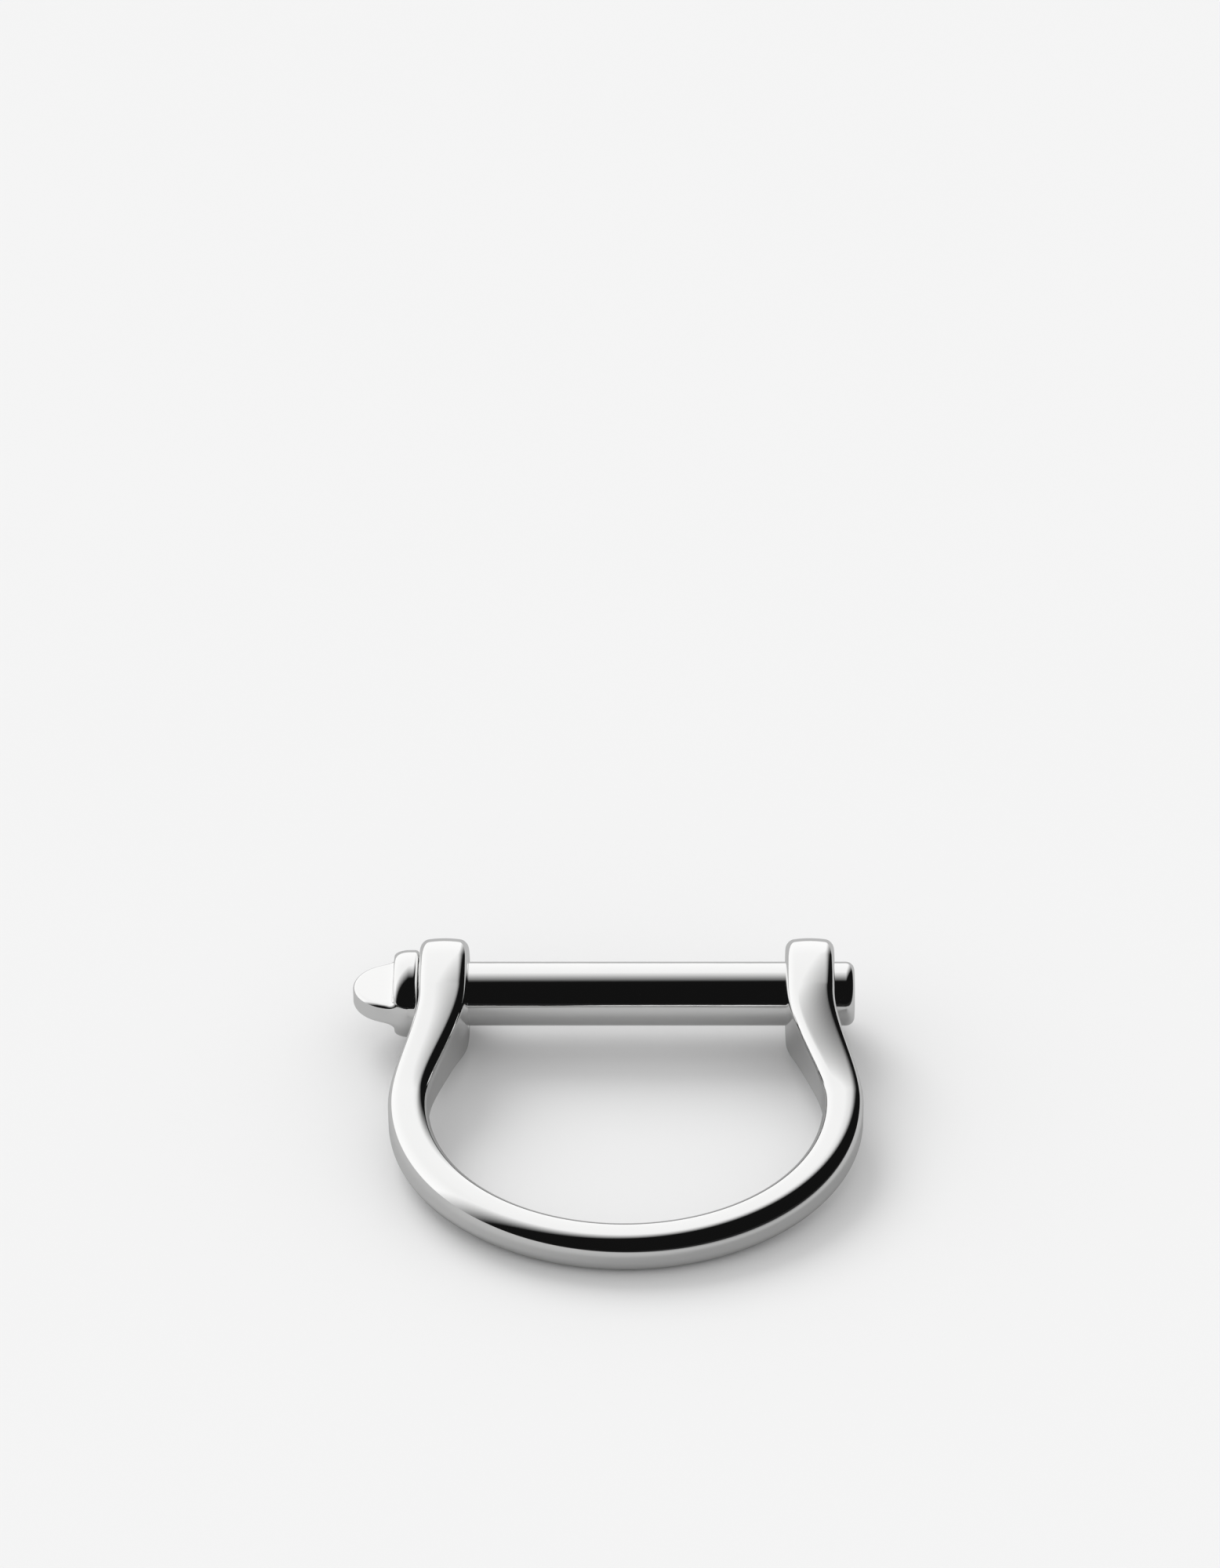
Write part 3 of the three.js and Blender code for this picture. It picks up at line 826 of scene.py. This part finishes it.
def cast_silver(scene):
    """The silver of the bow and head, built once."""
    finish = scene.shackle_silver
    return bpy.data.materials.get("Polished cast silver") or silver(
        "Polished cast silver", shared_marks(), finish.cast_colour, finish, (0.4, 0.2, 0.7), (1, 1, 1)
    )


# ---- operators ------------------------------------------------------------------------------


class MakeBow(bpy.types.Operator):
    """Builds the horseshoe bow with its tapped ear and its plain ear."""

    bl_idname = "shackle.make_bow"
    bl_label = "Bow"

    def execute(self, context):
        bow, thread = context.scene.shackle_bow, context.scene.shackle_thread
        half = bow_half(bow)
        skin = Skin()
        for side in (1, -1):
            skin.add(placed(bow, half, side), True, cut_cells())
            ear_hole(bow, thread, skin, half, side)
        piece = skin.build("polished_bow", cast_silver(context.scene))
        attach(piece, "bow")
        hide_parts("bow")
        return {"FINISHED"}


class MakeHead(bpy.types.Operator):
    """Builds the collar, the thumb tab and the threaded neck in one."""

    bl_idname = "shackle.make_head"
    bl_label = "Head"

    def execute(self, context):
        pin, thread = context.scene.shackle_pin, context.scene.shackle_thread
        angle = head_columns()
        skin = Skin()
        skin.add(to_ring(head_shell(pin, thread, angle)), True)
        skin.add(to_ring(neck_thread(pin, thread, angle)), True)
        root, bore = thread.root_radius, pin.tenon_radius + pin.play
        start, bottom = pin.neck_end - 0.15 * MM, pin.tenon_end - pin.play
        for line in (
            straight((start, root), (pin.neck_end, root - 0.15 * MM), 2),
            straight((pin.neck_end, root - 0.15 * MM), (pin.neck_end, bore), 3),
            straight((pin.neck_end, bore), (bottom, bore), 10),
            straight((bottom, bore), (bottom, 0), 3),
        ):
            skin.add(turned(line, angle), True)
        piece = skin.build("collar_and_tab", cast_silver(context.scene))
        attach(piece, "pin_head")
        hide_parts("pin_head")
        return {"FINISHED"}


class MakeRod(bpy.types.Operator):
    """Builds the drawn rod with its rounded plain end and its tenon."""

    bl_idname = "shackle.make_rod"
    bl_label = "Rod"

    def execute(self, context):
        scene = context.scene
        pin, finish = scene.shackle_pin, scene.shackle_silver
        angle = np.linspace(0, 2 * math.pi, 257)
        tenon, rod, size = pin.tenon_radius, pin.rod_radius, pin.rod_round
        shoulder, bevel = pin.neck_end + pin.play, 0.1 * MM
        skin = Skin()
        for line in (
            straight((pin.tenon_end, 0), (pin.tenon_end, tenon - bevel), 3),
            straight((pin.tenon_end, tenon - bevel), (pin.tenon_end + bevel, tenon), 2),
            straight((pin.tenon_end + bevel, tenon), (shoulder, tenon), 8),
            straight((shoulder, tenon), (shoulder, rod - 0.03 * MM), 2),
            quarter_round(shoulder + 0.03 * MM, rod - 0.03 * MM, 0.03 * MM, math.pi, RIGHT_ANGLE, 3),
            straight((shoulder + 0.03 * MM, rod), (pin.rod_end - size, rod), 60),
            quarter_round(pin.rod_end - size, rod - size, size, RIGHT_ANGLE, 0, 20),
            straight((pin.rod_end, rod - size), (pin.rod_end, 0), 6),
        ):
            skin.add(turned(line, angle), True)
        material = silver(
            "Drawn silver", shared_marks(), finish.drawn_colour, finish, (0, 0, RIGHT_ANGLE), (1, 1, 1)
        )
        piece = skin.build("drawn_rod", material)
        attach(piece, "pin_shank")
        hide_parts("pin_shank")
        return {"FINISHED"}


class MakeStage(bpy.types.Operator):
    """Sets up the pale floor, the softbox, the key light and the camera."""

    bl_idname = "shackle.make_stage"
    bl_label = "Stage"

    def execute(self, context):
        scene = context.scene
        look = scene.shackle_stage
        steps = np.linspace(-1.5, 1.5, 31)
        x, y = np.meshgrid(steps, steps, indexing="ij")
        skin = Skin()
        skin.add(np.stack([x, y, 0 * x - 0.002 * MM], -1))
        mesh = bpy.data.meshes.new("floor")
        mesh.from_pydata(skin.points[0].astype(np.float32), [], skin.faces[0])
        mesh.materials.append(floor_material(look))
        floor = bpy.data.objects.new("floor", mesh)
        scene.collection.objects.link(floor)
        studio_world(look)
        light = bpy.data.lights.new("key", "SUN")
        light.energy = look.key_strength
        light.angle = look.key_spread
        key = bpy.data.objects.new("key", light)
        key.visible_glossy = False
        az, el = look.key_azimuth, look.key_elevation
        towards = Vector((math.sin(az) * math.cos(el), math.cos(az) * math.cos(el), math.sin(el)))
        key.rotation_euler = towards.to_track_quat("Z", "Y").to_euler()
        scene.collection.objects.link(key)
        self.add_camera(scene, look)
        scene.view_settings.view_transform = "Standard"
        return {"FINISHED"}

    def add_camera(self, scene, look):
        """Places the camera and makes it the scene's own."""
        data = bpy.data.cameras.new("camera")
        data.sensor_fit = "VERTICAL"
        data.sensor_height = 36
        data.lens = look.lens
        data.clip_start, data.clip_end = 0.01, 20
        camera = bpy.data.objects.new("camera", data)
        az, el = look.camera_azimuth, look.camera_elevation
        back = Vector((math.sin(az) * math.cos(el), -math.cos(az) * math.cos(el), math.sin(el)))
        place = Vector(pin_axis()) + back * look.camera_distance
        turned_to = Matrix.Rotation(look.camera_heading, 4, "Z")
        dipped = Matrix.Rotation(RIGHT_ANGLE - look.camera_dip, 4, "X")
        rolled = Matrix.Rotation(look.camera_roll, 4, "Z")
        camera.matrix_world = Matrix.Translation(place) @ turned_to @ dipped @ rolled
        scene.collection.objects.link(camera)
        scene.camera = camera


class RingPanel(bpy.types.Panel):
    """Lists the pieces of the ring and their sizes."""

    bl_idname = "VIEW3D_PT_shackle_ring"
    bl_label = "Shackle Ring"
    bl_space_type = "VIEW_3D"
    bl_region_type = "UI"
    bl_category = "Shackle Ring"

    def draw(self, context):
        layout = self.layout
        for operator in OPERATORS:
            layout.operator(operator.bl_idname)
        for name in SETTINGS:
            group = getattr(context.scene, name)
            box = layout.box()
            for key in group.__annotations__:
                box.prop(group, key)


OPERATORS = (MakeBow, MakeHead, MakeRod, MakeStage)
SETTINGS = {
    "shackle_bow": BowSizes,
    "shackle_pin": PinSizes,
    "shackle_thread": ThreadSizes,
    "shackle_silver": SilverFinish,
    "shackle_stage": StageLook,
}
CLASSES = (*SETTINGS.values(), *OPERATORS, RingPanel)


def register():
    for cls in CLASSES:
        bpy.utils.register_class(cls)
    for name, group in SETTINGS.items():
        setattr(bpy.types.Scene, name, bpy.props.PointerProperty(type=group))


def unregister():
    for name in SETTINGS:
        delattr(bpy.types.Scene, name)
    for cls in reversed(CLASSES):
        bpy.utils.unregister_class(cls)


def main():
    """Builds every piece and the stage."""
    register()
    bpy.ops.shackle.make_bow()
    bpy.ops.shackle.make_head()
    bpy.ops.shackle.make_rod()
    bpy.ops.shackle.make_stage()


if __name__ == "__main__":
    main()
